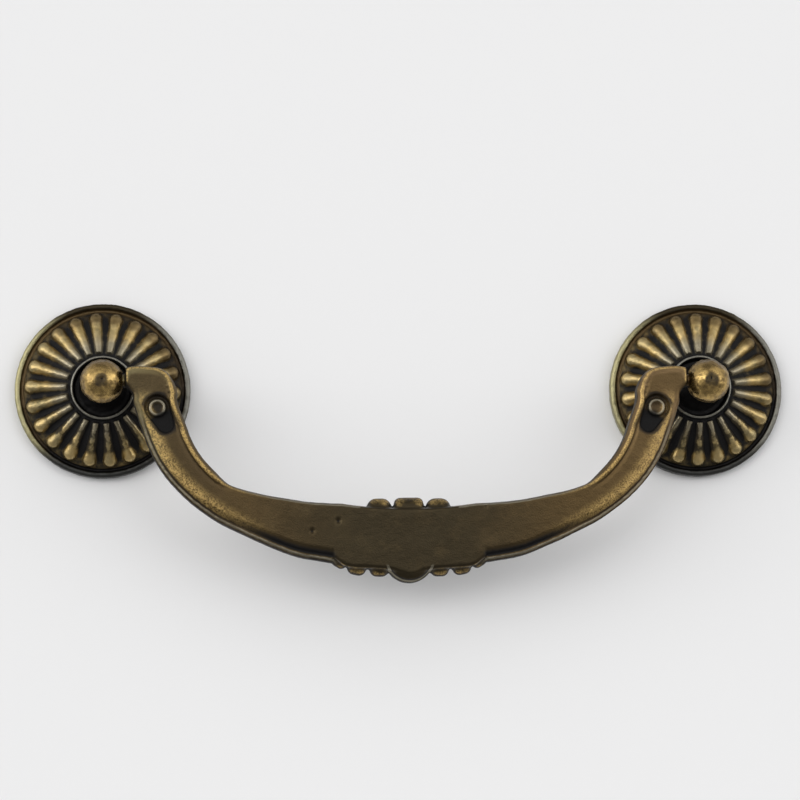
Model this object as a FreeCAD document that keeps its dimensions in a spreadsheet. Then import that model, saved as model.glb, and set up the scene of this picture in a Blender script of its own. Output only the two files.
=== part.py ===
import FreeCAD, Part
import Sketcher
import math
import os
import re

# Bail pull: two fluted rosettes, two ball posts and one cast bail that swings between the posts.
# The origin lies midway between the two mounting holes, on the wall plane. +X runs along the holes,
# +Z is up, and the front faces -Y, so heights above the wall run along -Y.

os.makedirs("parts", exist_ok=True)
doc = FreeCAD.newDocument("bail_pull")

SIZES = (
    ("hole_spacing", 96.0),
    # rosettes
    ("rosette_diameter", 28.1),
    ("rim_height", 1.9),
    ("rim_width", 0.85),
    ("rim_rounding", 0.4),
    ("border_height", 1.5),
    ("border_width", 1.5),
    ("dome_foot_height", 1.7),
    ("dome_height", 4.95),
    ("dome_crown_radius", 26.0),
    ("ring_diameter", 9.8),
    ("ring_bead_width", 0.45),
    ("ring_rise", 1.0),
    ("seat_height", 3.4),
    ("rosette_bore_diameter", 7.0),
    ("back_rim_width", 2.05),
    ("back_hollow_foot", 0.35),
    ("back_hollow_depth", 2.7),
    ("back_boss_diameter", 10.6),
    # flutes
    ("flute_count", 22),
    ("flute_bulb_diameter", 2.4),
    ("flute_bulb_setback", 1.25),
    ("flute_bulb_rise", 0.55),
    ("flute_tail_reach", 5.6),
    ("flute_tail_width", 1.0),
    ("flute_turn_left", 13.8),
    ("flute_turn_right", 8.0),
    # posts
    ("pivot_height", 13.5),
    ("ball_diameter", 6.9),
    ("neck_diameter", 4.4),
    ("neck_top_drop", 5.3),
    ("neck_hollow", 0.73),
    ("centre_mark_diameter", 1.1),
    ("centre_mark_depth", 0.3),
    ("flange_clearance", 0.15),
    ("flange_step", 0.7),
    ("flange_thickness", 0.9),
    ("tail_clearance", 0.1),
    ("screw_tap_diameter", 3.3),
    ("screw_hole_depth", 7.0),
    # pivots
    ("pin_diameter", 2.1),
    ("pin_reach", 2.3),
    ("pin_root", 1.0),
    ("pin_clearance", 0.1),
    ("pin_end_room", 0.3),
    ("head_gap", 0.25),
    # centreline of the bail, from a head to the middle
    ("tip_rise", 0.3),
    ("bail_drop", 25.3),
    ("head_turn_radius", 4.67),
    ("neck_slope", 72.0),
    ("shoulder_radius", 18.5),
    ("belly_turn", 21.0),
    # reaches of the bail from the centreline, on the inner side and the outer one
    ("tip_inner_reach", 1.7),
    ("tip_outer_reach", 1.2),
    ("crown_inner_reach", 2.6),
    ("crown_outer_reach", 2.2),
    ("brow_inner_reach", 3.9),
    ("brow_outer_reach", 3.2),
    ("head_inner_reach", 3.75),
    ("head_outer_reach", 3.35),
    ("nape_inner_reach", 3.25),
    ("nape_outer_reach", 3.35),
    ("throat_inner_reach", 3.4),
    ("throat_outer_reach", 3.3),
    ("waist_inner_reach", 3.3),
    ("waist_outer_reach", 2.8),
    ("bend_inner_reach", 2.95),
    ("bend_outer_reach", 2.85),
    ("elbow_inner_reach", 3.2),
    ("elbow_outer_reach", 3.15),
    ("arm_inner_reach", 3.8),
    ("arm_outer_reach", 3.8),
    ("flare_inner_reach", 4.4),
    ("flare_outer_reach", 4.45),
    ("grip_inner_reach", 5.0),
    ("grip_outer_reach", 4.35),
    # section of the bail
    ("face_height", 2.2),
    ("back_height", 2.1),
    ("side_height", 0.9),
    ("ridge_setback", 0.6),
    ("ridge_width", 0.5),
    ("ridge_rise", 0.22),
    ("ridge_groove_width", 0.6),
    ("ridge_groove_depth", 0.35),
    ("edge_slope_width", 0.25),
    ("edge_drop", 0.8),
    ("bead_width", 1.05),
    ("bead_width_at_tip", 0.2),
    ("bead_setback", 0.95),
    ("bead_rise", 0.3),
    ("shoulder_width", 1.0),
    ("shoulder_width_at_tip", 0.35),
    # pocket and pip on each head
    ("pip_offset", 39.4),
    ("pip_drop", 4.4),
    ("pip_diameter", 2.7),
    ("pip_lip_width", 0.35),
    ("pip_dish_depth", 0.35),
    ("pip_setback", 0.15),
    ("pocket_diameter", 4.1),
    ("pocket_foot_diameter", 2.7),
    ("pocket_centre_distance", 3.0),
    ("pocket_slope", 64.0),
    ("pocket_depth", 1.0),
    # ornament in the middle of the grip
    ("panel_half_length", 11.4),
    ("panel_end_reach", 3.6),
    ("panel_step_offset", 9.0),
    ("panel_step_reach", 4.8),
    ("panel_waist_offset", 4.0),
    ("panel_waist_reach", 4.65),
    ("panel_middle_reach", 5.6),
    ("panel_edge_width", 0.35),
    ("bead_string_drop", 20.4),
    ("middle_bead_length", 4.6),
    ("middle_bead_diameter", 3.8),
    ("middle_bead_rounding", 0.9),
    ("side_bead_length", 3.9),
    ("side_bead_diameter", 3.6),
    ("side_bead_offset", 4.65),
    ("side_bead_rounding", 1.5),
    ("lobe_length", 3.0),
    ("lobe_diameter", 3.4),
    ("lobe_rounding", 1.1),
    ("inner_lobe_offset", 4.75),
    ("inner_lobe_drop", 29.25),
    ("outer_lobe_offset", 8.15),
    ("outer_lobe_drop", 29.0),
    ("outer_lobe_tilt", 12.0),
    ("end_lobe_length", 2.4),
    ("end_lobe_diameter", 2.9),
    ("end_lobe_rounding", 0.8),
    ("end_lobe_offset", 10.7),
    ("end_lobe_drop", 28.1),
    ("end_lobe_tilt", 30.0),
    ("crescent_diameter", 7.8),
    ("crescent_drop", 28.05),
    ("crescent_front", 1.7),
    ("crescent_back", 1.0),
    ("crescent_rim_width", 0.4),
    ("crescent_rim_step", 0.8),
    ("crescent_roll_width", 1.0),
    ("crescent_roll_round", 0.7),
)

sheet = doc.addObject("Spreadsheet::Sheet", "sizes")
for row, (alias, number) in enumerate(SIZES, start=1):
    sheet.set(f"A{row}", alias.replace("_", " "))
    sheet.set(f"B{row}", str(number))
    sheet.setAlias(f"B{row}", alias)
doc.recompute()

ALIASES = {alias for alias, number in SIZES}
BACK_FLATS = 6
HEAD_RIBS = 8
ARM_RIBS = 22
PANEL_RIBS = 8
TOUCH = 1e-6


def cells(expression):
    """The expression with each size written as its cell in the sheet."""
    def cell(word):
        return f"sizes.{word[0]}" if word[0] in ALIASES else word[0]
    return re.sub(r"[a-z_]+", cell, expression)


def size(expression):
    """The number that an expression over the sizes has now."""
    return float(sheet.evalExpression(cells(expression)))


def origin_plane(body, role):
    return next(plane for plane in body.Origin.OriginFeatures if plane.Role == role)


def new_body(name):
    body = doc.addObject("PartDesign::Body", name)
    body.Label = name
    return body


def new_sketch(body, name, role, shift=("0", "0", "0"), turn="0"):
    """A sketch on one of the body's own origin planes, shifted and turned in that plane."""
    sketch = body.newObject("Sketcher::SketchObject", name)
    sketch.AttachmentSupport = [(origin_plane(body, role), "")]
    sketch.MapMode = "FlatFace"
    offset = FreeCAD.Vector(size(shift[0]), size(shift[1]), size(shift[2]))
    normal = FreeCAD.Vector(0, 0, 1)
    sketch.AttachmentOffset = FreeCAD.Placement(offset, FreeCAD.Rotation(normal, size(turn)))
    for axis, expression in zip("xyz", shift):
        if expression != "0":
            sketch.setExpression(f"AttachmentOffset.Base.{axis}", cells(expression))
    if turn != "0":
        sketch.setExpression("AttachmentOffset.Rotation.Angle", cells(turn))
    return sketch


def bind(sketch, expression, kind, *where):
    """One dimension of the sketch, bound to the sheet."""
    index = sketch.addConstraint(Sketcher.Constraint(kind, *where, size(expression)))
    sketch.setExpression(f"Constraints[{index}]", cells(expression))


def bind_point(sketch, edge, end, across, along):
    """Ties a point of the sketch to its two distances from the sketch's origin."""
    bind(sketch, across, "DistanceX", -1, 1, edge, end)
    bind(sketch, along, "DistanceY", -1, 1, edge, end)


def arc_about(centre, radius, start, stop):
    """The arc round a centre that runs counter-clockwise from one point to another."""
    angles = [math.atan2(point.y - centre.y, point.x - centre.x) for point in (start, stop)]
    return Part.ArcOfCircle(Part.Circle(centre, FreeCAD.Vector(0, 0, 1), radius), *angles)


def closed_outline(sketch, corners):
    """Draws a closed outline through bound corners.

    A corner is (across, along) or (across, along, radius, side): then an arc of that radius runs to
    the next corner, and bulges to the left (1) or to the right (-1) of the way round.
    """
    places = [FreeCAD.Vector(size(corner[0]), size(corner[1]), 0) for corner in corners]
    edges = []
    for corner, begin, end in zip(corners, places, places[1:] + places[:1]):
        if len(corner) == 2:
            edges.append((sketch.addGeometry(Part.LineSegment(begin, end), False), 1, 2))
            continue
        radius, side = size(corner[2]), corner[3]
        chord = end - begin
        bulge = FreeCAD.Vector(-chord.y, chord.x, 0).normalize() * side
        centre = (begin + end) * 0.5 - bulge * math.sqrt(max(radius ** 2 - (chord.Length / 2) ** 2, 0))
        start, stop = (end, begin) if side > 0 else (begin, end)
        edge = sketch.addGeometry(arc_about(centre, radius, start, stop), False)
        edges.append((edge, 2, 1) if side > 0 else (edge, 1, 2))
    for corner, (edge, start, end), following in zip(corners, edges, edges[1:] + edges[:1]):
        sketch.addConstraint(Sketcher.Constraint("Coincident", edge, end, following[0], following[1]))
        bind_point(sketch, edge, start, corner[0], corner[1])
        if len(corner) == 4:
            bind(sketch, corner[2], "Radius", edge)


def bound_circle(sketch, across, along, diameter):
    centre = FreeCAD.Vector(size(across), size(along), 0)
    edge = sketch.addGeometry(Part.Circle(centre, FreeCAD.Vector(0, 0, 1), size(diameter) / 2), False)
    bind_point(sketch, edge, 3, across, along)
    bind(sketch, diameter, "Diameter", edge)


def revolve(body, sketch, axis, name):
    turned = body.newObject("PartDesign::Revolution", name)
    turned.Profile = sketch
    turned.ReferenceAxis = (sketch, [axis])
    turned.Angle = 360
    doc.recompute()
    return turned


def mirror_across_middle(body, feature):
    """Repeats a feature of one half of the body on the other half."""
    copy = body.newObject("PartDesign::Mirrored", feature.Name + "_mirrored")
    copy.Originals = [feature]
    copy.MirrorPlane = (origin_plane(body, "YZ_Plane"), [""])
    body.Tip = copy
    doc.recompute()
    return copy


def draw_flute(sketch):
    """Half of a teardrop beside its slanted axis: a narrow tail that widens into a round bulb."""
    bulb_reach = "rosette_diameter / 2 - border_width - flute_bulb_setback"
    bulb_height = "-(dome_foot_height + flute_bulb_rise)"
    tail = FreeCAD.Vector(size("flute_tail_reach"), size("-dome_height"), 0)
    bulb = FreeCAD.Vector(size(bulb_reach), size(bulb_height), 0)
    along = (bulb - tail).normalize()
    aside = FreeCAD.Vector(along.y, -along.x, 0)
    bulb_radius = size("flute_bulb_diameter / 2")
    shoulder = tail + aside * size("flute_tail_width / 2")
    touch = bulb + aside * bulb_radius
    end = bulb + along * bulb_radius
    axis = sketch.addGeometry(Part.LineSegment(tail, bulb), True)
    foot = sketch.addGeometry(Part.LineSegment(tail, shoulder), False)
    taper = sketch.addGeometry(Part.LineSegment(shoulder, touch), False)
    cap = sketch.addGeometry(arc_about(bulb, bulb_radius, touch, end), False)
    spine = sketch.addGeometry(Part.LineSegment(end, tail), False)
    bind_point(sketch, axis, 1, "flute_tail_reach", "-dome_height")
    bind_point(sketch, axis, 2, bulb_reach, bulb_height)
    sketch.addConstraint(Sketcher.Constraint("Coincident", foot, 1, axis, 1))
    sketch.addConstraint(Sketcher.Constraint("Perpendicular", foot, axis))
    sketch.addConstraint(Sketcher.Constraint("Coincident", foot, 2, taper, 1))
    sketch.addConstraint(Sketcher.Constraint("Tangent", taper, 2, cap, 1))
    sketch.addConstraint(Sketcher.Constraint("Coincident", cap, 3, axis, 2))
    sketch.addConstraint(Sketcher.Constraint("Coincident", cap, 2, spine, 1))
    sketch.addConstraint(Sketcher.Constraint("Coincident", spine, 2, axis, 1))
    sketch.addConstraint(Sketcher.Constraint("PointOnObject", spine, 1, axis))
    bind(sketch, "flute_tail_width / 2", "Distance", foot)
    bind(sketch, "flute_bulb_diameter / 2", "Radius", cap)


def build_rosette(name, side, turn):
    """A cast dish with a hollow back: rim, plain border, fluted dome, bright ring and post seat."""
    body = new_body(name)
    profile = new_sketch(body, name + "_profile", "XY_Plane")
    closed_outline(profile, (
        ("rosette_bore_diameter / 2", "0"),
        ("rosette_bore_diameter / 2", "-seat_height"),
        ("(ring_diameter - ring_bead_width) / 2", "-seat_height"),
        ("(ring_diameter - ring_bead_width) / 2", "-(dome_height + ring_rise - ring_bead_width / 2)",
         "ring_bead_width * 0.52", -1),
        ("(ring_diameter + ring_bead_width) / 2", "-(dome_height + ring_rise - ring_bead_width / 2)"),
        ("(ring_diameter + ring_bead_width) / 2", "-dome_height", "dome_crown_radius", -1),
        ("rosette_diameter / 2 - border_width", "-dome_foot_height"),
        ("rosette_diameter / 2 - border_width", "-border_height"),
        ("rosette_diameter / 2 - rim_width", "-border_height"),
        ("rosette_diameter / 2 - rim_width", "-rim_height"),
        ("rosette_diameter / 2 - rim_rounding", "-rim_height", "rim_rounding", -1),
        ("rosette_diameter / 2", "-(rim_height - rim_rounding)"),
        ("rosette_diameter / 2", "0"),
        ("rosette_diameter / 2 - back_rim_width", "0"),
        ("rosette_diameter / 2 - back_rim_width", "-back_hollow_foot"),
        ("back_boss_diameter / 2", "-back_hollow_depth"),
        ("back_boss_diameter / 2", "0"),
    ))
    revolve(body, profile, "V_Axis", name + "_dish")
    teardrop = new_sketch(body, name + "_teardrop", "XY_Plane")
    draw_flute(teardrop)
    flute = revolve(body, teardrop, "Axis0", name + "_flute")
    flutes = body.newObject("PartDesign::PolarPattern", name + "_flutes")
    flutes.Originals = [flute]
    flutes.Axis = (profile, ["V_Axis"])
    flutes.Angle = 360
    flutes.setExpression("Occurrences", cells("flute_count"))
    body.Tip = flutes
    outward = FreeCAD.Vector(0, -1, 0)
    body.Placement = FreeCAD.Placement(FreeCAD.Vector(), FreeCAD.Rotation(outward, size(turn)))
    body.setExpression("Placement.Base.x", cells(f"{side} * hole_spacing / 2"))
    body.setExpression("Placement.Rotation.Angle", cells(turn))
    return body


def build_post(name, side, half_turn):
    """A turned post: tail in the rosette's bore, flange on its seat, waisted neck and ball head."""
    flange = "(ring_diameter - ring_bead_width) / 2 - flange_clearance"
    foot = f"{flange} - flange_step"
    neck_length = "pivot_height - neck_top_drop - seat_height - flange_thickness"
    chord = f"(({foot} - neck_diameter / 2)^2 + ({neck_length})^2)"
    rounding = f"{chord} / (8 * neck_hollow) + neck_hollow / 2"
    body = new_body(name)
    profile = new_sketch(body, name + "_profile", "XY_Plane")
    closed_outline(profile, (
        ("0", "0"),
        ("rosette_bore_diameter / 2 - tail_clearance", "0"),
        ("rosette_bore_diameter / 2 - tail_clearance", "-seat_height"),
        (flange, "-seat_height"),
        (flange, "-(seat_height + flange_thickness)"),
        (foot, "-(seat_height + flange_thickness)", rounding, -1),
        ("neck_diameter / 2", "-(pivot_height - neck_top_drop)"),
        ("neck_diameter / 2", "-(pivot_height - sqrt(ball_diameter^2 - neck_diameter^2) / 2)",
         "ball_diameter / 2", 1),
        ("centre_mark_diameter / 2",
         "-(pivot_height + sqrt(ball_diameter^2 - centre_mark_diameter^2) / 2)"),
        ("0", "-(pivot_height + ball_diameter / 2 - centre_mark_depth)"),
    ))
    turned = revolve(body, profile, "V_Axis", name + "_turning")
    blank_volume = turned.Shape.Volume

    pivot = new_sketch(body, name + "_pivot", "YZ_Plane",
                       ("0", "0", "ball_diameter / 2 - pin_reach - pin_end_room"))
    bound_circle(pivot, "-pivot_height", "0", "pin_diameter + 2 * pin_clearance")
    bore = body.newObject("PartDesign::Pocket", name + "_pivot_bore")
    bore.Profile = pivot
    bore.Type = "ThroughAll"
    bore.Reversed = True
    doc.recompute()
    bored_volume = bore.Shape.Volume

    centre = new_sketch(body, name + "_screw", "XZ_Plane")
    bound_circle(centre, "0", "0", "screw_tap_diameter")
    doc.recompute()
    screw = body.newObject("PartDesign::Hole", name + "_screw_hole")
    screw.Profile = centre
    doc.recompute()
    screw.ThreadType = "None"
    screw.DepthType = "Dimension"
    screw.DrillPoint = "Angled"
    screw.Reversed = True
    screw.setExpression("Diameter", cells("screw_tap_diameter"))
    screw.setExpression("Depth", cells("screw_hole_depth"))
    doc.recompute()
    if not blank_volume > bored_volume > screw.Shape.Volume:
        raise ValueError(name + ": a bore doesn't reach into the post")
    inward = FreeCAD.Vector(0, 1, 0)
    body.Placement = FreeCAD.Placement(FreeCAD.Vector(), FreeCAD.Rotation(inward, half_turn))
    body.setExpression("Placement.Base.x", cells(f"{side} * hole_spacing / 2"))
    return body


class Centreline:
    """The bail's middle line, from the +X head to the lowest point of the grip, in the XZ plane.

    A small arc turns down from the pin, a straight neck follows, then the shoulder arc and the wide
    belly arc, all tangent. The neck's length and the belly's radius follow from the other sizes.
    """

    def __init__(self):
        self.tip_offset = size("hole_spacing / 2 - ball_diameter / 2 - head_gap")
        self.tip_rise = size("tip_rise")
        self.head_radius = size("head_turn_radius")
        self.shoulder_radius = size("shoulder_radius")
        self.slope = math.radians(size("neck_slope"))
        self.belly = math.radians(size("belly_turn"))
        head, shoulder, slope, belly = self.head_radius, self.shoulder_radius, self.slope, self.belly
        width = self.tip_offset - head * math.sin(slope) - shoulder * (math.sin(slope) - math.sin(belly))
        fall = self.tip_rise + size("bail_drop") - head * (1 - math.cos(slope))
        fall -= shoulder * (math.cos(belly) - math.cos(slope))
        spread = math.cos(slope - belly) - math.cos(slope)
        self.neck_length = (fall * math.sin(belly) - width * (1 - math.cos(belly))) / spread
        self.belly_radius = (width * math.sin(slope) - fall * math.cos(slope)) / spread
        self.lengths = {
            "head": head * slope,
            "neck": self.neck_length,
            "shoulder": shoulder * (slope - belly),
            "belly": self.belly_radius * belly,
        }
        self.length = sum(self.lengths.values())

    def way(self, part, share):
        """The distance along the line from the tip to a share of one of its parts."""
        before = list(self.lengths).index(part)
        return sum(list(self.lengths.values())[:before]) + self.lengths[part] * share

    def way_beside(self, offset):
        """The distance along the line from the tip to the place on the belly this far from the middle."""
        return self.length - self.belly_radius * math.asin(size(offset) / self.belly_radius)

    def at(self, way):
        """The place on the line after this distance from the tip, and its heading below level."""
        across, down, heading = self.tip_offset, self.tip_rise, 0
        turns = {"head": self.slope, "neck": self.slope, "shoulder": self.belly, "belly": 0}
        for part, length in self.lengths.items():
            share = min(1, max(0, way / length))
            end = heading + (turns[part] - heading) * share
            middle = (heading + end) / 2
            half_turn = (end - heading) / 2
            chord = length * share * (math.sin(half_turn) / half_turn if half_turn else 1)
            across -= chord * math.cos(middle)
            down -= chord * math.sin(middle)
            heading = end
            way -= length
            if way <= 0:
                break
        return (across, down), heading


def bail_section(place, heading, inner, outer, front):
    """A closed rib square to the centreline, with a crowned back.

    front holds the corners of the front, (reach, height), from the inner edge to the outer one. Reach
    runs from the inner edge at 0 to inner + outer at the outer edge, and height towards the face.
    """
    width = inner + outer
    side = size("side_height")
    crown = size("back_height - side_height")
    corners = list(front)
    for step in range(BACK_FLATS + 1):
        turn = math.pi * step / BACK_FLATS
        corners.append((width / 2 * (1 + math.cos(turn)), -side - crown * math.sin(turn)))
    inward = (-math.sin(heading), math.cos(heading))
    points = []
    for reach, height in corners:
        offset = inner - reach
        points.append(FreeCAD.Vector(place[0] + inward[0] * offset, -height, place[1] + inward[1] * offset))
    return Part.makePolygon(points + points[:1])


def arm_front(width, ridge, border):
    """The front of an arm: ridge and groove, flat face, rounded shoulder, groove and outer bead.

    ridge runs from 1 on the neck to 0 where the ridge has faded into a plain edge, and border from 0
    at the tip to 1 where the outer border is widest.
    """
    face = size("face_height")
    setback = size("edge_slope_width") + ridge * size("ridge_setback - edge_slope_width")
    crest = setback + size("ridge_width")
    groove_end = crest + size("ridge_groove_width")
    bead = size("bead_width_at_tip") + border * size("bead_width - bead_width_at_tip")
    shoulder = size("shoulder_width_at_tip") + border * size("shoulder_width - shoulder_width_at_tip")
    fit = min(1, 0.8 * width / (groove_end + bead + shoulder))
    setback, crest, groove_end = setback * fit, crest * fit, groove_end * fit
    bead, shoulder = bead * fit, shoulder * fit
    crest_height = face + ridge * size("ridge_rise")
    groove = face - ridge * size("ridge_groove_depth")
    floor = face - size("bead_setback") * (1 + border) / 2
    top = floor + size("bead_rise") * (1 + border) / 2
    bead_start = width - bead
    return (
        (0, crest_height - size("edge_drop")),
        (setback, crest_height),
        (crest, crest_height),
        ((crest + groove_end) / 2, groove),
        (groove_end, face),
        (bead_start - shoulder, face),
        (bead_start - shoulder * 0.4, (face * 3 + floor) / 4),
        (bead_start, floor),
        (bead_start + bead * 0.3, top),
        (bead_start + bead * 0.7, top),
        (width, floor - size("bead_rise") / 2),
    )


def panel_front(width):
    """The front of the middle panel: a steep upper edge, and a small slope at the lower edge."""
    face = size("face_height")
    slope = size("panel_edge_width")
    return (
        (0, face - size("edge_drop")),
        (size("edge_slope_width"), face),
        (width - slope, face),
        (width, face - slope),
    )


def eased(stations, distance, column):
    """A value on the smooth curve through the stations, with no swing past any of them."""
    ways = [station[0] for station in stations]
    values = [station[column] for station in stations]
    slopes = [(after - before) / (far - near)
              for before, after, near, far in zip(values, values[1:], ways, ways[1:])]
    bends = [0 if one * two <= 0 else 2 * one * two / (one + two) for one, two in zip(slopes, slopes[1:])]
    bends = slopes[:1] + bends + slopes[-1:]
    span = max(index for index, way in enumerate(ways[:-1]) if way <= distance + TOUCH)
    gap = ways[span + 1] - ways[span]
    share = (distance - ways[span]) / gap
    rest = 1 - share
    return (values[span] * (1 + 2 * share) * rest ** 2 + values[span + 1] * (1 + 2 * rest) * share ** 2
            + gap * share * rest * (bends[span] * rest - bends[span + 1] * share))


def build_bail_casting():
    """The smooth form of the casting: two arms that swell towards the grip, and the panel between."""
    line = Centreline()
    panel_way = line.way_beside("panel_half_length")
    places = (
        ("tip", 0, 0.0, 0.0),
        ("crown", line.way("head", 0.35), 0.0, 0.0),
        ("brow", line.way("head", 0.7), 0.2, 0.0),
        ("head", line.way("head", 1), 0.9, 0.05),
        ("nape", line.way("neck", 0.35), 1.0, 0.1),
        ("throat", line.way("neck", 0.8), 1.0, 0.25),
        ("waist", line.way("shoulder", 0.65), 1.0, 0.55),
        ("bend", line.way("shoulder", 0.75), 0.0, 0.65),
        ("elbow", line.way("belly", 0), 0.0, 0.8),
        ("arm", line.way("belly", 0.2), 0.0, 0.95),
        ("flare", line.way("belly", 0.42), 0.0, 1.0),
        ("grip", panel_way, 0.0, 1.0),
    )
    stations = [(way, size(name + "_inner_reach"), size(name + "_outer_reach"), ridge, border)
                for name, way, ridge, border in places]

    def rib(way):
        place, heading = line.at(way)
        inner, outer, ridge, border = (eased(stations, way, column) for column in (1, 2, 3, 4))
        return bail_section(place, heading, inner, outer, arm_front(inner + outer, ridge, border))

    neck_way = line.way("neck", 0)
    arm_step = (panel_way - neck_way) / ARM_RIBS
    head = Part.makeLoft([rib(neck_way * step / HEAD_RIBS) for step in range(HEAD_RIBS + 1)], True, False)
    arm = Part.makeLoft([rib(neck_way + arm_step * step) for step in range(ARM_RIBS + 1)], True, False)

    inner = size("grip_inner_reach")
    stations = (
        (panel_way, size("panel_end_reach")),
        (line.way_beside("panel_step_offset"), size("panel_step_reach")),
        (line.way_beside("panel_waist_offset"), size("panel_waist_reach")),
        (line.length, size("panel_middle_reach")),
    )
    ribs = []
    for step in range(PANEL_RIBS + 1):
        way = panel_way + (line.length - panel_way) * step / PANEL_RIBS
        place, heading = line.at(way)
        outer = eased(stations, way, 1)
        ribs.append(bail_section(place, heading, inner, outer, panel_front(inner + outer)))
    middle = FreeCAD.Vector()
    across = FreeCAD.Vector(1, 0, 0)
    ribs += [rib.mirror(middle, across) for rib in reversed(ribs[:-1])]
    panel = Part.makeLoft(ribs, True, False)
    return panel.fuse([head, arm, head.mirror(middle, across), arm.mirror(middle, across)])


def draw_pocket(sketch):
    """The outline of a head's pocket: a large arc round the pip, a small one at the foot, two tangents."""
    top = FreeCAD.Vector(size("pip_offset"), size("-pip_drop"), 0)
    reach = size("pocket_centre_distance")
    slope = math.radians(size("pocket_slope"))
    down = FreeCAD.Vector(-math.cos(slope), -math.sin(slope), 0)
    foot = top + down * reach
    radii = size("pocket_diameter / 2"), size("pocket_foot_diameter / 2")
    spread = math.acos((radii[0] - radii[1]) / reach)
    heading = math.atan2(down.y, down.x)
    normal = FreeCAD.Vector(0, 0, 1)
    arcs = []
    for centre, radius, start, end in ((top, radii[0], heading + spread, heading - spread + 2 * math.pi),
                                       (foot, radii[1], heading - spread, heading + spread)):
        circle = Part.Circle(centre, normal, radius)
        arcs.append(sketch.addGeometry(Part.ArcOfCircle(circle, start, end), False))
    big, small = (sketch.Geometry[arc] for arc in arcs)
    left = sketch.addGeometry(Part.LineSegment(big.EndPoint, small.StartPoint), False)
    right = sketch.addGeometry(Part.LineSegment(small.EndPoint, big.StartPoint), False)
    spine = sketch.addGeometry(Part.LineSegment(top, foot), True)
    sketch.addConstraint(Sketcher.Constraint("Tangent", arcs[0], 2, left, 1))
    sketch.addConstraint(Sketcher.Constraint("Tangent", left, 2, arcs[1], 1))
    sketch.addConstraint(Sketcher.Constraint("Tangent", arcs[1], 2, right, 1))
    sketch.addConstraint(Sketcher.Constraint("Tangent", right, 2, arcs[0], 1))
    sketch.addConstraint(Sketcher.Constraint("Coincident", spine, 1, arcs[0], 3))
    sketch.addConstraint(Sketcher.Constraint("Coincident", spine, 2, arcs[1], 3))
    bind(sketch, "pocket_diameter / 2", "Radius", arcs[0])
    bind(sketch, "pocket_foot_diameter / 2", "Radius", arcs[1])
    bind_point(sketch, arcs[0], 3, "pip_offset", "-pip_drop")
    bind_point(sketch, arcs[1], 3, "pip_offset - pocket_centre_distance * cos(pocket_slope)",
               "-(pip_drop + pocket_centre_distance * sin(pocket_slope))")


def turned_bead(body, name, length, diameter, rounding, offset, drop, tilt):
    """A bead turned about a line along the edge of the grip, with rounded ends."""
    sketch = new_sketch(body, name + "_profile", "XZ_Plane", (offset, f"-({drop})", "0"), tilt)
    closed_outline(sketch, (
        (f"-{length} / 2", "0"),
        (f"-{length} / 2", f"{diameter} / 2 - {rounding}", rounding, 1),
        (f"-{length} / 2 + {rounding}", f"{diameter} / 2"),
        (f"{length} / 2 - {rounding}", f"{diameter} / 2", rounding, 1),
        (f"{length} / 2", f"{diameter} / 2 - {rounding}"),
        (f"{length} / 2", "0"),
    ))
    return revolve(body, sketch, "H_Axis", name)


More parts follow.
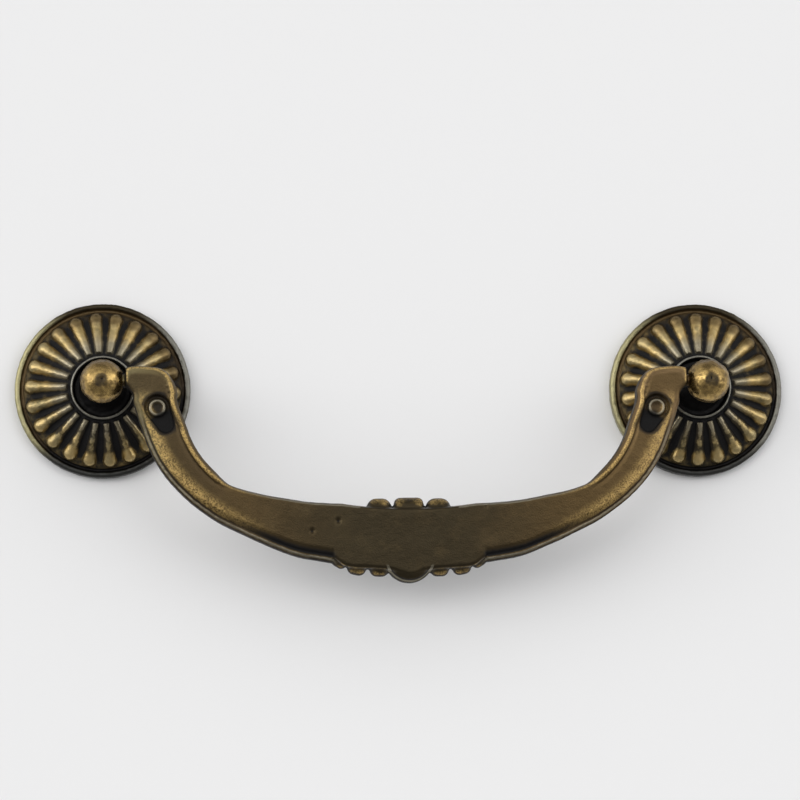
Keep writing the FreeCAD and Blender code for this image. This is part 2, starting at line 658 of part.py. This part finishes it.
def build_bail():
    """One casting with its pivot pins: arms, heads with pocket and pip, and the beaded grip ornament."""
    casting = doc.addObject("Part::Feature", "bail_casting")
    casting.Shape = build_bail_casting()
    body = new_body("bail")
    body.BaseFeature = casting
    doc.recompute()

    pin_plane = new_sketch(body, "pin_section", "YZ_Plane",
                           ("0", "0", "hole_spacing / 2 - ball_diameter / 2 - head_gap - pin_root"))
    bound_circle(pin_plane, "0", "0", "pin_diameter")
    pin = body.newObject("PartDesign::Pad", "pin")
    pin.Profile = pin_plane
    pin.setExpression("Length", cells("pin_root + head_gap + pin_reach"))
    doc.recompute()
    mirror_across_middle(body, pin)

    outline = new_sketch(body, "pocket_outline", "XZ_Plane", ("0", "0", "face_height + ridge_rise + 1"))
    draw_pocket(outline)
    pocket = body.newObject("PartDesign::Pocket", "pocket")
    pocket.Profile = outline
    pocket.setExpression("Length", cells("pocket_depth + ridge_rise + 1"))
    doc.recompute()
    mirror_across_middle(body, pocket)

    half_pip = new_sketch(body, "pip_profile", "XY_Plane", ("pip_offset", "0", "-pip_drop"))
    closed_outline(half_pip, (
        ("0", "0"),
        ("pip_diameter / 2", "0"),
        ("pip_diameter / 2", "-(face_height - pip_setback)"),
        ("pip_diameter / 2 - pip_lip_width", "-(face_height - pip_setback)"),
        ("pip_diameter / 2 - 2 * pip_lip_width", "-(face_height - pip_setback - pip_dish_depth)"),
        ("0", "-(face_height - pip_setback - pip_dish_depth)"),
    ))
    mirror_across_middle(body, revolve(body, half_pip, "V_Axis", "pip"))

    turned_bead(body, "middle_bead", "middle_bead_length", "middle_bead_diameter", "middle_bead_rounding",
                "0", "bead_string_drop", "0")
    side_beads = (
        ("side_bead", "side_bead", "side_bead_offset", "bead_string_drop", "0"),
        ("inner_lobe", "lobe", "inner_lobe_offset", "inner_lobe_drop", "0"),
        ("outer_lobe", "lobe", "outer_lobe_offset", "outer_lobe_drop", "outer_lobe_tilt"),
        ("end_lobe", "end_lobe", "end_lobe_offset", "end_lobe_drop", "end_lobe_tilt"),
    )
    for name, kind, offset, drop, tilt in side_beads:
        bead = turned_bead(body, name, kind + "_length", kind + "_diameter", kind + "_rounding",
                           offset, drop, tilt)
        mirror_across_middle(body, bead)

    half_crescent = new_sketch(body, "crescent_profile", "XY_Plane", ("0", "0", "-crescent_drop"))
    closed_outline(half_crescent, (
        ("0", "crescent_back"),
        ("0", "-crescent_front"),
        ("crescent_diameter / 2 - crescent_rim_width - crescent_roll_width", "-crescent_front",
         "crescent_roll_round", -1),
        ("crescent_diameter / 2 - crescent_rim_width", "-(crescent_front - crescent_rim_step / 2)"),
        ("crescent_diameter / 2 - crescent_rim_width", "-(crescent_front - crescent_rim_step)"),
        ("crescent_diameter / 2", "-(crescent_front - crescent_rim_step)"),
        ("crescent_diameter / 2", "crescent_back"),
    ))
    body.Tip = revolve(body, half_crescent, "V_Axis", "crescent")
    body.Placement = FreeCAD.Placement(FreeCAD.Vector(0, -size("pivot_height"), 0), FreeCAD.Rotation())
    body.setExpression("Placement.Base.y", cells("-pivot_height"))
    return body


pieces = [
    build_rosette("rosette_left", "-1", "flute_turn_left"),
    build_rosette("rosette_right", "1", "flute_turn_right"),
    build_post("post_left", "-1", 0),
    build_post("post_right", "1", 180),
    build_bail(),
]
doc.recompute()

for item in doc.Objects:
    if {"Invalid", "Error"} & set(item.State):
        raise ValueError(item.Name + " did not build")
for piece in pieces:
    if piece.Shape.isNull() or not piece.Shape.isValid():
        raise ValueError(piece.Label + " has no valid shape")
for piece in pieces:
    piece.Shape.exportStep(f"parts/{piece.Label}.step")
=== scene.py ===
# A bail pull in antique brass: two fluted rosettes, a ball post through each, and a cast bail.

import math

import bpy
import numpy as np
from mathutils import Matrix, Vector, noise
from mathutils.kdtree import KDTree


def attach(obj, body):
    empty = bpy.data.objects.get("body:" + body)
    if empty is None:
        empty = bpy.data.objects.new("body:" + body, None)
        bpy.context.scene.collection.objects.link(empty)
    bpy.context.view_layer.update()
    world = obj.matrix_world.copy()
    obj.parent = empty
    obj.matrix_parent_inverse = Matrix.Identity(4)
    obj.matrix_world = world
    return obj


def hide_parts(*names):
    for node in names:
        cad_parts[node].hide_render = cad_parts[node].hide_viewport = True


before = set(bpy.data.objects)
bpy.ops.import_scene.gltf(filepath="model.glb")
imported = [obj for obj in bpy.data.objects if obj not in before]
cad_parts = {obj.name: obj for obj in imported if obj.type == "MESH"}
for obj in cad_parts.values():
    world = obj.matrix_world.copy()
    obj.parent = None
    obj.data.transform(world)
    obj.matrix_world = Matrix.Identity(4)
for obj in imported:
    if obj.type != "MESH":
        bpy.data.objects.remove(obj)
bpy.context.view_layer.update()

MM = 0.001

# Places on the pull, in millimetres: the posts, the pip in each head and the middle of the crescent.
POST_X = 48
PIP_X = 39.4
PIP_Z = -4.4
CRESCENT_Z = -28.05


# The camera, as the photograph was taken.

def set_camera():
    distance = 556.9 * MM
    yaw = math.radians(4.46)
    tilt = math.radians(6.91)
    roll = math.radians(-0.62)
    aim = Vector((-0.11, 0, -1.38)) * MM
    ahead = Vector((math.sin(yaw) * math.cos(tilt), math.cos(yaw) * math.cos(tilt), math.sin(tilt)))
    level = Vector((math.cos(yaw), -math.sin(yaw), 0))
    upright = level.cross(ahead)
    right = level * math.cos(roll) + upright * math.sin(roll)
    up = upright * math.cos(roll) - level * math.sin(roll)
    place = aim - ahead * distance
    camera = bpy.data.objects.new("camera", bpy.data.cameras.new("camera"))
    camera.data.lens = 154.9
    camera.data.sensor_width = 36
    camera.data.clip_start = 0.01
    camera.matrix_world = Matrix((right, up, -ahead)).transposed().to_4x4()
    camera.matrix_world.translation = place
    bpy.context.collection.objects.link(camera)
    bpy.context.scene.camera = camera


# Shader nodes, written as sums.

class Signal:
    """One output of a node, which takes part in sums."""

    def __init__(self, nodes, socket):
        self.nodes = nodes
        self.socket = socket

    def reckon(self, operation, *values, clamp=False):
        return self.nodes.add("ShaderNodeMath", {"operation": operation, "use_clamp": clamp},
                              dict(enumerate(values)))

    def __add__(self, other):
        return self.reckon("ADD", self, other)

    def __sub__(self, other):
        return self.reckon("SUBTRACT", self, other)

    def __rsub__(self, other):
        return self.reckon("SUBTRACT", other, self)

    def __mul__(self, other):
        return self.reckon("MULTIPLY", self, other)

    __radd__ = __add__
    __rmul__ = __mul__

    def __abs__(self):
        return self.reckon("ABSOLUTE", self)

    def clamped(self):
        """The value, kept from 0 to 1."""
        return self.reckon("ADD", self, 0, clamp=True)

    def between(self, low, high):
        """0 below the low value, 1 above the high one, and a soft rise between them."""
        return self.nodes.add("ShaderNodeMapRange", {"interpolation_type": "SMOOTHSTEP"},
                              {"Value": self, "From Min": low, "From Max": high})

    def fading(self, low, high):
        """1 below the low value, 0 above the high one, and a soft fall between them."""
        return 1 - self.between(low, high)

    def band(self, start, full, waning, end):
        """1 from the second value to the third, 0 before the first and after the last."""
        return self.between(start, full) * self.fading(waning, end)


class Nodes:
    """The nodes of one material or world."""

    def __init__(self, owner):
        owner.use_nodes = True
        self.tree = owner.node_tree
        self.tree.nodes.clear()

    def add(self, kind, settings, sockets, output=0):
        """A node of this kind, with its settings and its sockets' values or links; gives one output."""
        made = self.tree.nodes.new(kind)
        for name, value in settings.items():
            setattr(made, name, value)
        for name, value in sockets.items():
            if isinstance(value, Signal):
                self.tree.links.new(value.socket, made.inputs[name])
            else:
                made.inputs[name].default_value = value
        return Signal(self, made.outputs[output]) if made.outputs else None

    def along(self, direction, heading):
        """How far a direction points along a heading, from -1 to 1."""
        return self.add("ShaderNodeVectorMath", {"operation": "DOT_PRODUCT"}, {0: direction, 1: heading}, 1)

    def speckle(self, place, size, detail):
        """Cloudy noise with patches of about this size in millimetres, from 0 to 1."""
        return self.add("ShaderNodeTexNoise", {}, {
            "Vector": place, "Scale": 1 / size, "Detail": detail, "Roughness": 0.55})

    def measured(self, name):
        """A value that the piece carries at each of its points."""
        return self.add("ShaderNodeAttribute", {"attribute_name": name}, {}, "Fac")

    def blend(self, share, first, second):
        """The first colour where the share is 0 and the second where it is 1."""
        return self.add("ShaderNodeMix", {"data_type": "RGBA"}, {0: share, 6: first, 7: second}, 2)


def colour(red, green, blue):
    """A colour given as it is seen on a screen, from 0 to 255, as light."""
    parts = []
    for part in (red, green, blue):
        share = part / 255
        parts.append(share / 12.92 if share < 0.04045 else ((share + 0.055) / 1.055) ** 2.4)
    return (*parts, 1)


def grey(level):
    return (level, level, level, 1)


# Antique brass: a dark patina in the hollows, rubbed back to brass where hands and cloths reach, with
# painted light and shade added in places.

SOOT = colour(22, 21, 21)
UMBER = colour(58, 51, 38)
BROWN = colour(86, 70, 46)
EARTH = colour(70, 59, 42)
OLIVE = colour(106, 97, 70)
RUSSET = colour(112, 92, 65)
GOLD = colour(190, 160, 100)
PALE = colour(214, 196, 150)
STEEL = colour(120, 118, 110)
# The khaki is painted light on the rim's lip.
LIT_KHAKI = colour(160, 153, 116)
BONE = colour(138, 132, 116)
# The ash grey is painted shade at the foot of the rim's lip.
SHADE_GREY = colour(62, 62, 60)


class Brass(Nodes):
    """The nodes of one piece's metal, with the places, noises and measures that its tones share.

    Places and reaches are in millimetres. Heights are from the wall. Relief and edge tell how far
    a point stands proud of what lies around it, over a broad reach and a narrow one.
    """

    def __init__(self, name):
        self.material = bpy.data.materials.new(name)
        super().__init__(self.material)
        metres = self.add("ShaderNodeTexCoord", {}, {}, "Object")
        self.spot = self.add("ShaderNodeVectorMath", {"operation": "SCALE"}, {0: metres, "Scale": 1 / MM})
        self.across = self.axis(0)
        self.height = self.axis(1) * -1
        self.rise = self.axis(2)
        self.clouds = self.speckle(self.spot, 3.0, 3)
        self.mottle = self.speckle(self.spot, 0.9, 3)
        self.grain = self.speckle(self.spot, 0.22, 2)
        self.relief = self.measured("relief")
        self.edge = self.measured("edge")

    def axis(self, index):
        return self.add("ShaderNodeSeparateXYZ", {}, {0: self.spot}, index)

    def reach_from(self, x, z):
        """How far a point lies from the line that runs from front to back through x and z."""
        away = self.add("ShaderNodeVectorMath", {"operation": "MULTIPLY_ADD"}, {
            0: self.spot, 1: (1, 0, 1), 2: (-x, 0, -z)})
        return self.add("ShaderNodeVectorMath", {"operation": "LENGTH"}, {0: away}, 1)

    def uneven(self, value, **shares):
        """The value, moved up and down by each named noise times its share."""
        for name, share in shares.items():
            value = value + (getattr(self, name) - 0.5) * share
        return value

    def finish(self, base, soot_and_shade, roughness, lumps):
        """The metal itself: the soot share is dull black patina, with painted shade in places, and lumps
        the height of its skin.
        """
        bump = self.add("ShaderNodeBump", {}, {"Strength": 0.6, "Distance": 0.08 * MM, "Height": lumps})
        shader = self.add("ShaderNodeBsdfPrincipled", {}, {
            "Base Color": self.blend(soot_and_shade, base, SOOT), "Metallic": 1 - soot_and_shade * 0.6,
            "Roughness": roughness + soot_and_shade * 0.25, "Specular IOR Level": 0.2, "Normal": bump})
        self.add("ShaderNodeOutputMaterial", {}, {"Surface": shader})
        return self.material


def rosette_brass(side, centre):
    """Gold flutes over sooty valleys, a brown border, a grey rim and a pale ring, with painted light and
    shade on the lower flutes, the upper bulbs, the border and the rim's lip.
    """
    metal = Brass(side + "_rosette_brass")
    across = metal.across - centre
    rise = metal.rise
    reach = metal.reach_from(centre, 0)
    ring = reach.band(4.76, 4.84, 5.06, 5.14)
    border = reach.between(12.4, 12.6)
    rim = reach.between(13.15, 13.3)

    worn = metal.uneven(metal.relief, mottle=0.16, grain=0.08)
    flute = worn.between(-0.22, 0.06)
    crest = (worn + metal.edge * 2).between(0.19, 0.31)
    # Painted shade: the bodies of the lower flutes turn dark umber, all but their crests, and this shade
    # adds to the soot share.
    shaded = (3 - rise).between(4, 10) * reach.fading(10.0, 10.9) * (1 - crest)
    # Painted shade: the bulbs of the upper flutes, more so towards the right, turn brown.
    top_shade = reach.between(10.0, 11.2) * metal.uneven(rise + across * 0.5, mottle=3).between(2, 8)
    gold = metal.blend((metal.clouds * 1.6 + metal.mottle - 0.9).clamped(), OLIVE, GOLD)
    gold = metal.blend(crest * 0.25, gold, PALE)
    gold = metal.blend(reach.fading(6.6, 9.4) * 0.8, gold, BONE)
    gold = metal.blend(shaded * 0.9, gold, UMBER)
    gold = metal.blend(top_shade * 0.8, gold, BROWN)

    # Painted light on the border: brown towards the top and left, where it is lit, and black towards the
    # bottom and right.
    border_light = metal.uneven(rise * 0.06 - across * 0.03 + 0.45, clouds=0.7).clamped()
    # Painted light on the rim's lip: lit khaki on the left and grey on the right, with painted shade in
    # umber across its top and bottom and dark grey at its foot.
    lit_lip = metal.blend((0.5 - across * 0.05).clamped(), STEEL, LIT_KHAKI)
    lit_lip = metal.blend(abs(across).between(5, 12), UMBER, lit_lip)
    lit_lip = metal.blend((0 - rise).between(7, 12), lit_lip, SHADE_GREY)
    base = metal.blend(border, gold, metal.blend(border_light, SOOT, BROWN))
    base = metal.blend(rim, base, lit_lip)
    base = metal.blend(ring, base, STEEL)

    # Soot lies in the valleys as patina; the painted shade of the lower flutes adds to it.
    valley_and_shade = 1 - flute * reach.between(5.2, 6.4) + shaded * 0.6
    soot_and_shade = valley_and_shade * (1 - border) * (1 - ring) + border * (1 - rim) * 0.2 + rim * 0.15
    roughness = metal.uneven(0.36, grain=0.14)
    return metal.finish(base, soot_and_shade.clamped(), roughness, metal.grain * 0.8 + metal.mottle)


def post_brass():
    """A ball of rough gold with brown patches, painted shade in brown on its top and a dark spot in front,
    on a neck painted black with patina and shade.
    """
    metal = Brass("post_brass")
    lumps = metal.speckle(metal.spot, 1.1, 2)
    patch = (metal.mottle * 0.5 + lumps * 0.7).between(0.3, 0.9)
    # Painted shade: the top of the ball turns brown.
    top_shade = (metal.rise + (lumps - 0.5) * 2).between(1.2, 3.0)
    base = metal.blend(patch, BROWN, GOLD)
    base = metal.blend(top_shade * 0.75, base, BROWN)

    aside = abs(metal.across) - (POST_X + 0.1)
    up = metal.rise + 0.2
    middle = aside * aside + up * up + (lumps - 0.5) * 2.4
    # A dark spot at the front of the ball.
    front_spot = middle.fading(0.5, 2.0) * metal.height.between(14, 15)
    # The neck behind and below the ball is painted black: its patina and painted shade where the ball hides
    # it.
    shaded_neck = metal.height.fading(9.6, 11.4)
    sunk = metal.uneven(metal.edge, grain=0.03).fading(-0.09, -0.03)
    soot_and_shade = (shaded_neck + sunk * 0.9 + front_spot * 0.8).clamped()
    roughness = metal.uneven(0.28, grain=0.12)
    return metal.finish(base, soot_and_shade, roughness, lumps * 1.4 + metal.mottle * 0.6)


class BailBrass(Brass):
    """Dark umber in the middle of the grip, partly painted shade, olive and gold towards the heads, soot in
    every groove, and painted shade on the outer sides and in the pockets.

    Outer and inner tell how far a point lies, seen from the front, from the bail's outer and inner
    side. Down and aside are measured from the pip, along and across the pocket.
    """

    def __init__(self):
        super().__init__("bail_brass")
        self.front = self.height.between(13.6, 14.2)
        self.lowered = self.height.fading(15.35, 15.5)
        self.outer = self.uneven(self.measured("from_outer"), mottle=0.25)
        self.inner = self.uneven(self.measured("from_inner"), mottle=0.15)
        self.span = abs(self.across)
        self.arm = self.span.between(11.2, 12.2)
        self.far = self.span.between(20, 32)
        self.from_crescent = self.reach_from(0, CRESCENT_Z)
        beside = PIP_X - self.span
        below = PIP_Z - self.rise
        self.down = beside * 0.44 + below * 0.9
        self.aside = beside * 0.9 - below * 0.44
        self.from_pip_squared = self.down * self.down + self.aside * self.aside

    def face(self):
        """The tone of the face, from the middle of the grip to the heads, darkest in the middle, partly its
        own tone and partly painted shade.
        """
        skew = self.span + self.across * 0.08
        rightward = self.across.between(-25, 25)
        outward = self.uneven(skew.between(6, 34), clouds=0.3, mottle=0.12).clamped()
        headward = self.uneven(skew.between(30, 42), clouds=0.3, mottle=0.12).clamped()
        trough = self.inner.band(0.9, 1.5, 3.4, 5.4) * self.span.between(24, 34) * 0.85
        # Painted shade with the face's own tone: dark umber in the middle of the grip, lightening to brown,
        # then to olive and russet at the heads.
        face = self.blend(outward, UMBER, BROWN)
        face = self.blend(headward, face, self.blend(rightward, OLIVE, RUSSET))
        return self.blend(trough, face, self.blend(rightward, EARTH, BROWN))

    def gilding(self):
        """The share of gold: beside the arms' bead, on their ridge, and on the ornament's lobes."""
        stripe = self.far * self.outer.band(0.8, 1.1, 1.4, 3.4) * self.rise.fading(-5, -1)
        ridge = self.far * self.edge.between(0.02, 0.08) * self.inner.fading(1.2, 1.8)
        proud = self.uneven(self.relief, mottle=0.2).between(0.1, 0.3)
        lobes = (1 - self.arm) * self.lowered * self.from_crescent.between(4.05, 4.2) * proud
        fleck = (self.mottle * 0.35 + self.grain * 0.85).between(0.38, 0.78)
        return (stripe + ridge + lobes * 0.8).clamped() * fleck * 0.85

    def bare_metal(self):
        """The share of bare grey metal: the arms' bead, the grip's upper edge, the crescent, the pips."""
        bead = self.arm * self.outer.band(0.2, 0.3, 0.5, 0.64) * self.rise.fading(-9, -4)
        edge = self.span.between(7.6, 7.9) * self.inner.band(0.14, 0.24, 0.36, 0.5) * (1 - self.far)
        crescent = self.from_crescent.band(3.5, 3.6, 3.9, 4.0) * self.rise.fading(-30, -29)
        pip = self.from_pip_squared.band(0.7, 1.0, 1.9, 2.2)
        return ((bead * 0.6 + edge * 0.6 + crescent + pip * 0.7) * self.front).clamped()

    def pocket_soot(self):
        """The shares of soot and painted shade in each head's pocket: its floor, darker below the pip, its
        foot, black with the pip's painted shadow, the pip's middle and the brim, darkened with painted
        shade.
        """
        near = abs(self.aside).fading(1.7, 2.6) * self.down.band(-2.8, -2.0, 4.0, 5.2)
        # The pocket's floor holds patina, made darker below the pip by painted shadow.
        floor = near * self.height.fading(15.2, 15.6) * (0.4 + self.down.between(0.4, 1.4) * 0.6)
        # Below the pip the foot of the pocket is nearly black: patina in its deep end and the pip's painted
        # shadow.
        past = self.down - 2.6
        from_foot = self.uneven(self.aside * self.aside * 0.35 + past * past * 0.24, mottle=0.5)
        foot_shadow = from_foot.fading(0.45, 1.25) * 0.94
        swirl = self.uneven(self.from_pip_squared, mottle=1.5).fading(0.2, 0.8)
        swirl = swirl * self.across.fading(-1, 1) * 0.65
        # Painted shade darkens the pocket's brim where its edge would catch light.
        brim_shade = near * self.edge.between(0.01, 0.05) * self.from_pip_squared.between(2.6, 3.4) * 0.8
        return floor, foot_shadow, swirl, brim_shade

    def soot_and_shade(self):
        """The share of soot, on the sides and in every step and groove; on the outer sides, the sloped band
        by the bead and in the pockets it is partly painted shade.
        """
        # The soot on the outer side walls is partly patina and partly painted shade.
        sides = self.outer.fading(0.06, 0.2) * 0.9
        brink = self.inner.fading(0.04, 0.16) * 0.8
        sunk = self.uneven(self.edge, grain=0.03).fading(-0.13, -0.05) * 0.85
        hollow = self.uneven(self.relief, mottle=0.1).fading(-0.6, -0.3) * 0.8
        # The sloped band between the face and the bead near the grip is black, partly patina and partly
        # painted shade.
        shaded_slope = self.arm * self.outer.band(0.7, 0.85, 1.3, 2.0) * (1 - self.far)
        line = self.far * self.outer.band(0.56, 0.66, 0.8, 0.95) * self.rise.fading(-9, -4) * 0.75
        groove = self.from_crescent.band(3.3, 3.4, 3.5, 3.56) * self.lowered * 0.9
        clean = 1
        for share in (sides, brink, sunk, hollow):
            clean = clean * (1 - share)
        for share in (shaded_slope, line, groove, *self.pocket_soot()):
            clean = clean * (1 - share * self.front)
        return 1 - clean


def bail_brass():
    """The bail's face, with gold and bare grey metal on its stripes, ridges and crests, under its soot."""
    metal = BailBrass()
    base = metal.blend(metal.gilding(), metal.face(), GOLD)
    base = metal.blend(metal.bare_metal(), base, BONE)
    roughness = metal.uneven(0.38, grain=0.16)
    return metal.finish(base, metal.soot_and_shade(), roughness, metal.grain * 0.9 + metal.mottle * 0.35)


# The cast pieces: each starts from its node's own shape, with corners as soft as a casting's.

JOIN_DISTANCE = 0.002 * MM


def only(piece):
    """Selects this piece alone."""
    bpy.ops.object.select_all(action="DESELECT")
    piece.select_set(True)
    bpy.context.view_layer.objects.active = piece


def apply_modifier(piece, kind, **settings):
    only(piece)
    modifier = piece.modifiers.new(kind.lower(), kind)
    for name, value in settings.items():
        setattr(modifier, name, value)
    bpy.ops.object.modifier_apply(modifier=modifier.name)


def cast_copy(node, name, grain):
    """A closed, evenly meshed copy of a node; grain is the mesh's pitch."""
    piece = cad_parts[node].copy()
    piece.data = piece.data.copy()
    piece.name = name
    piece.data.name = name
    bpy.context.collection.objects.link(piece)
    only(piece)
    bpy.ops.object.mode_set(mode="EDIT")
    bpy.ops.mesh.select_all(action="SELECT")
    bpy.ops.mesh.remove_doubles(threshold=JOIN_DISTANCE)
    bpy.ops.object.mode_set(mode="OBJECT")
    apply_modifier(piece, "REMESH", mode="VOXEL", voxel_size=grain, use_smooth_shade=True)
    apply_modifier(piece, "SMOOTH", factor=0.5, iterations=2)
    piece.data.materials.clear()
    return piece


def corners_of(piece):
    """The piece's points, one row each, in metres."""
    corners = np.empty(len(piece.data.vertices) * 3)
    piece.data.vertices.foreach_get("co", corners)
    return corners.reshape(-1, 3)


def directions_of(piece):
    """The way the surface faces at each point."""
    directions = np.empty(len(piece.data.vertices) * 3)
    piece.data.vertex_normals.foreach_get("vector", directions)
    return directions.reshape(-1, 3)


def evened(values, edges, passes):
    """The values after each has been drawn half way to its neighbours' mean, pass after pass."""
    first, second = edges.T
    count = len(values)
    neighbours = np.bincount(edges.ravel(), minlength=count)
    values = values.copy()
    for _ in range(passes):
        for column in range(values.shape[1]):
            from_first = np.bincount(second, values[first, column], count)
            from_second = np.bincount(first, values[second, column], count)
            values[:, column] += ((from_first + from_second) / neighbours - values[:, column]) / 2
    return values


def edges_of(piece):
    """The two points that each edge joins."""
    edges = np.empty(len(piece.data.edges) * 2, dtype=np.int32)
    piece.data.edges.foreach_get("vertices", edges)
    return edges.reshape(-1, 2)


def store(piece, name, values):
    """Lets the piece carry a value at each of its points."""
    attribute = piece.data.attributes.new(name, "FLOAT", "POINT")
    attribute.data.foreach_set("value", values.ravel())


def move_points(piece, corners):
    """Gives the piece's points new places."""
    piece.data.vertices.foreach_set("co", corners.ravel())
    piece.data.update()


def measure_relief(piece, grain, reach, edge_reach):
    """Stores how far each point stands proud of the surface around it, in millimetres, at two reaches."""
    corners = corners_of(piece)
    directions = directions_of(piece)
    edges = edges_of(piece)
    for name, distance in (("relief", reach), ("edge", edge_reach)):
        # The reach of the evening grows with the root of its passes.
        passes = round(2 * (distance / grain) ** 2)
        level = evened(corners, edges, passes)
        proud = ((corners - level) * directions).sum(axis=1, keepdims=True) / MM
        store(piece, name, evened(proud, edges, 2))


def roughen(piece, depth, size, seed):
    """Unevenness left by the mould: each point moves in or out by cloudy noise of this depth and size."""
    corners = corners_of(piece)
    directions = directions_of(piece)
    offset = Vector((seed, seed * 0.37, seed * 0.71))
    moved = np.empty(len(corners))
    for index, corner in enumerate(corners):
        moved[index] = noise.noise(Vector(corner) / size + offset)
    move_points(piece, corners + directions * (moved * depth)[:, None])


def measure_borders(piece):
    """Stores how far each point of the bail lies, seen from the front, from its outer and inner side."""
    widest_slant = 0.3
    behind_pockets = -14.5 * MM
    between_arms = (0, 0, 10 * MM)
    corners = corners_of(piece)
    flat = corners * (1, 0, 1)
    directions = directions_of(piece)
    sides = (np.abs(directions[:, 1]) < widest_slant) & (corners[:, 1] > behind_pockets)
    outward = (directions * (flat - between_arms)).sum(axis=1) > 0
    for name, chosen in (("from_outer", sides & outward), ("from_inner", sides & ~outward)):
        spots = flat[chosen]
        tree = KDTree(len(spots))
        for index, spot in enumerate(spots):
            tree.insert(spot, index)
        tree.balance()
        gaps = np.array([[tree.find(spot)[2] / MM] for spot in flat])
        store(piece, name, evened(gaps, edges_of(piece), 1))


def pit(piece, spots):
    """Small round holes in the cast skin; each spot is x, y, z, radius and depth in millimetres."""
    corners = corners_of(piece)
    directions = directions_of(piece)
    for x, y, z, radius, depth in spots:
        away = np.linalg.norm(corners - np.array((x, y, z)) * MM, axis=1) / (radius * MM)
        dent = np.clip(1 - away, 0, 1) ** 1.5 * depth * MM
        corners -= directions * dent[:, None]
    move_points(piece, corners)


def finish_piece(piece, node, body, material):
    """Gives the piece its metal, and the body and node that it goes with."""
    piece.data.materials.append(material)
    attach(piece, body)
    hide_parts(node)


def make_rosette(side, centre, seed):
    grain = 0.16 * MM
    piece = cast_copy("rosette_" + side, side + "_rosette", grain)
    roughen(piece, 0.05 * MM, 1.1 * MM, seed)
    roughen(piece, 0.02 * MM, 0.4 * MM, seed + 9)
    measure_relief(piece, grain, 1.3 * MM, 0.35 * MM)
    finish_piece(piece, "rosette_" + side, "mounting", rosette_brass(side, centre))


def make_post(side, seed, brass):
    grain = 0.12 * MM
    piece = cast_copy("post_" + side, side + "_post", grain)
    roughen(piece, 0.09 * MM, 1.2 * MM, seed)
    roughen(piece, 0.03 * MM, 0.4 * MM, seed + 5)
    measure_relief(piece, grain, 1.0 * MM, 0.3 * MM)
    finish_piece(piece, "post_" + side, "mounting", brass)


def make_bail():
    grain = 0.2 * MM
    left_pits = ((-11.2, -15.8, -22.3, 0.6, 0.5), (-15.3, -15.8, -23.9, 0.55, 0.5))
    right_pit = (12.0, -15.8, -20.1, 0.4, 0.4)
    piece = cast_copy("bail", "cast_bail", grain)
    roughen(piece, 0.05 * MM, 4.0 * MM, 4)
    roughen(piece, 0.018 * MM, 0.8 * MM, 8)
    pit(piece, (*left_pits, right_pit))
    measure_relief(piece, grain, 1.4 * MM, 0.5 * MM)
    measure_borders(piece)
    finish_piece(piece, "bail", "bail", bail_brass())


# The wall behind and the light.

def make_wall():
    """A pale wall just behind the rosettes, which is clear from its back."""
    gap = 0.15 * MM
    bpy.ops.mesh.primitive_plane_add(size=4, location=(0, gap, 0), rotation=(math.pi / 2, 0, 0))
    wall = bpy.context.active_object
    wall.name = "wall"
    material = bpy.data.materials.new("pale_wall")
    nodes = Nodes(material)
    paint = nodes.add("ShaderNodeBsdfDiffuse", {}, {"Color": (0.8, 0.8, 0.805, 1)})
    clear = nodes.add("ShaderNodeBsdfTransparent", {}, {})
    behind = nodes.add("ShaderNodeNewGeometry", {}, {}, "Backfacing")
    shader = nodes.add("ShaderNodeMixShader", {}, {0: behind, 1: paint, 2: clear})
    nodes.add("ShaderNodeOutputMaterial", {}, {"Surface": shader})
    wall.data.materials.append(material)


def make_sky():
    """A room with a broad window on the left, a smaller one on the right, and dark behind the camera."""
    world = bpy.data.worlds.new("room")
    bpy.context.scene.world = world
    nodes = Nodes(world)
    direction = nodes.add("ShaderNodeTexCoord", {}, {}, "Generated")
    upward = nodes.along(direction, (0, 0, 1))
    room = nodes.blend(upward.between(-0.45, 0.15), grey(0.38), grey(1.05))
    room = nodes.blend(upward.between(0.72, 0.95), room, grey(0.4))
    level = upward.band(-0.06, 0.1, 0.26, 0.46)
    left = nodes.along(direction, (-0.66, -0.75, 0)).between(0.6, 0.9) * level
    room = nodes.blend(left, room, (3.9, 3.88, 3.84, 1))
    right = nodes.along(direction, (0.62, -0.78, 0)).between(0.7, 0.94) * level
    room = nodes.blend(right, room, grey(2.7))
    viewer = nodes.along(direction, (0.05, -0.98, -0.12)).between(0.9, 0.975)
    room = nodes.blend(viewer, room, grey(0.08))
    shader = nodes.add("ShaderNodeBackground", {}, {"Color": room, "Strength": 1})
    nodes.add("ShaderNodeOutputWorld", {}, {"Surface": shader})


set_camera()
make_wall()
make_sky()

make_rosette("left", -POST_X, 1)
make_rosette("right", POST_X, 2)
post_metal = post_brass()
make_post("left", 3, post_metal)
make_post("right", 6, post_metal)
make_bail()

bpy.context.scene.view_settings.view_transform = "Standard"
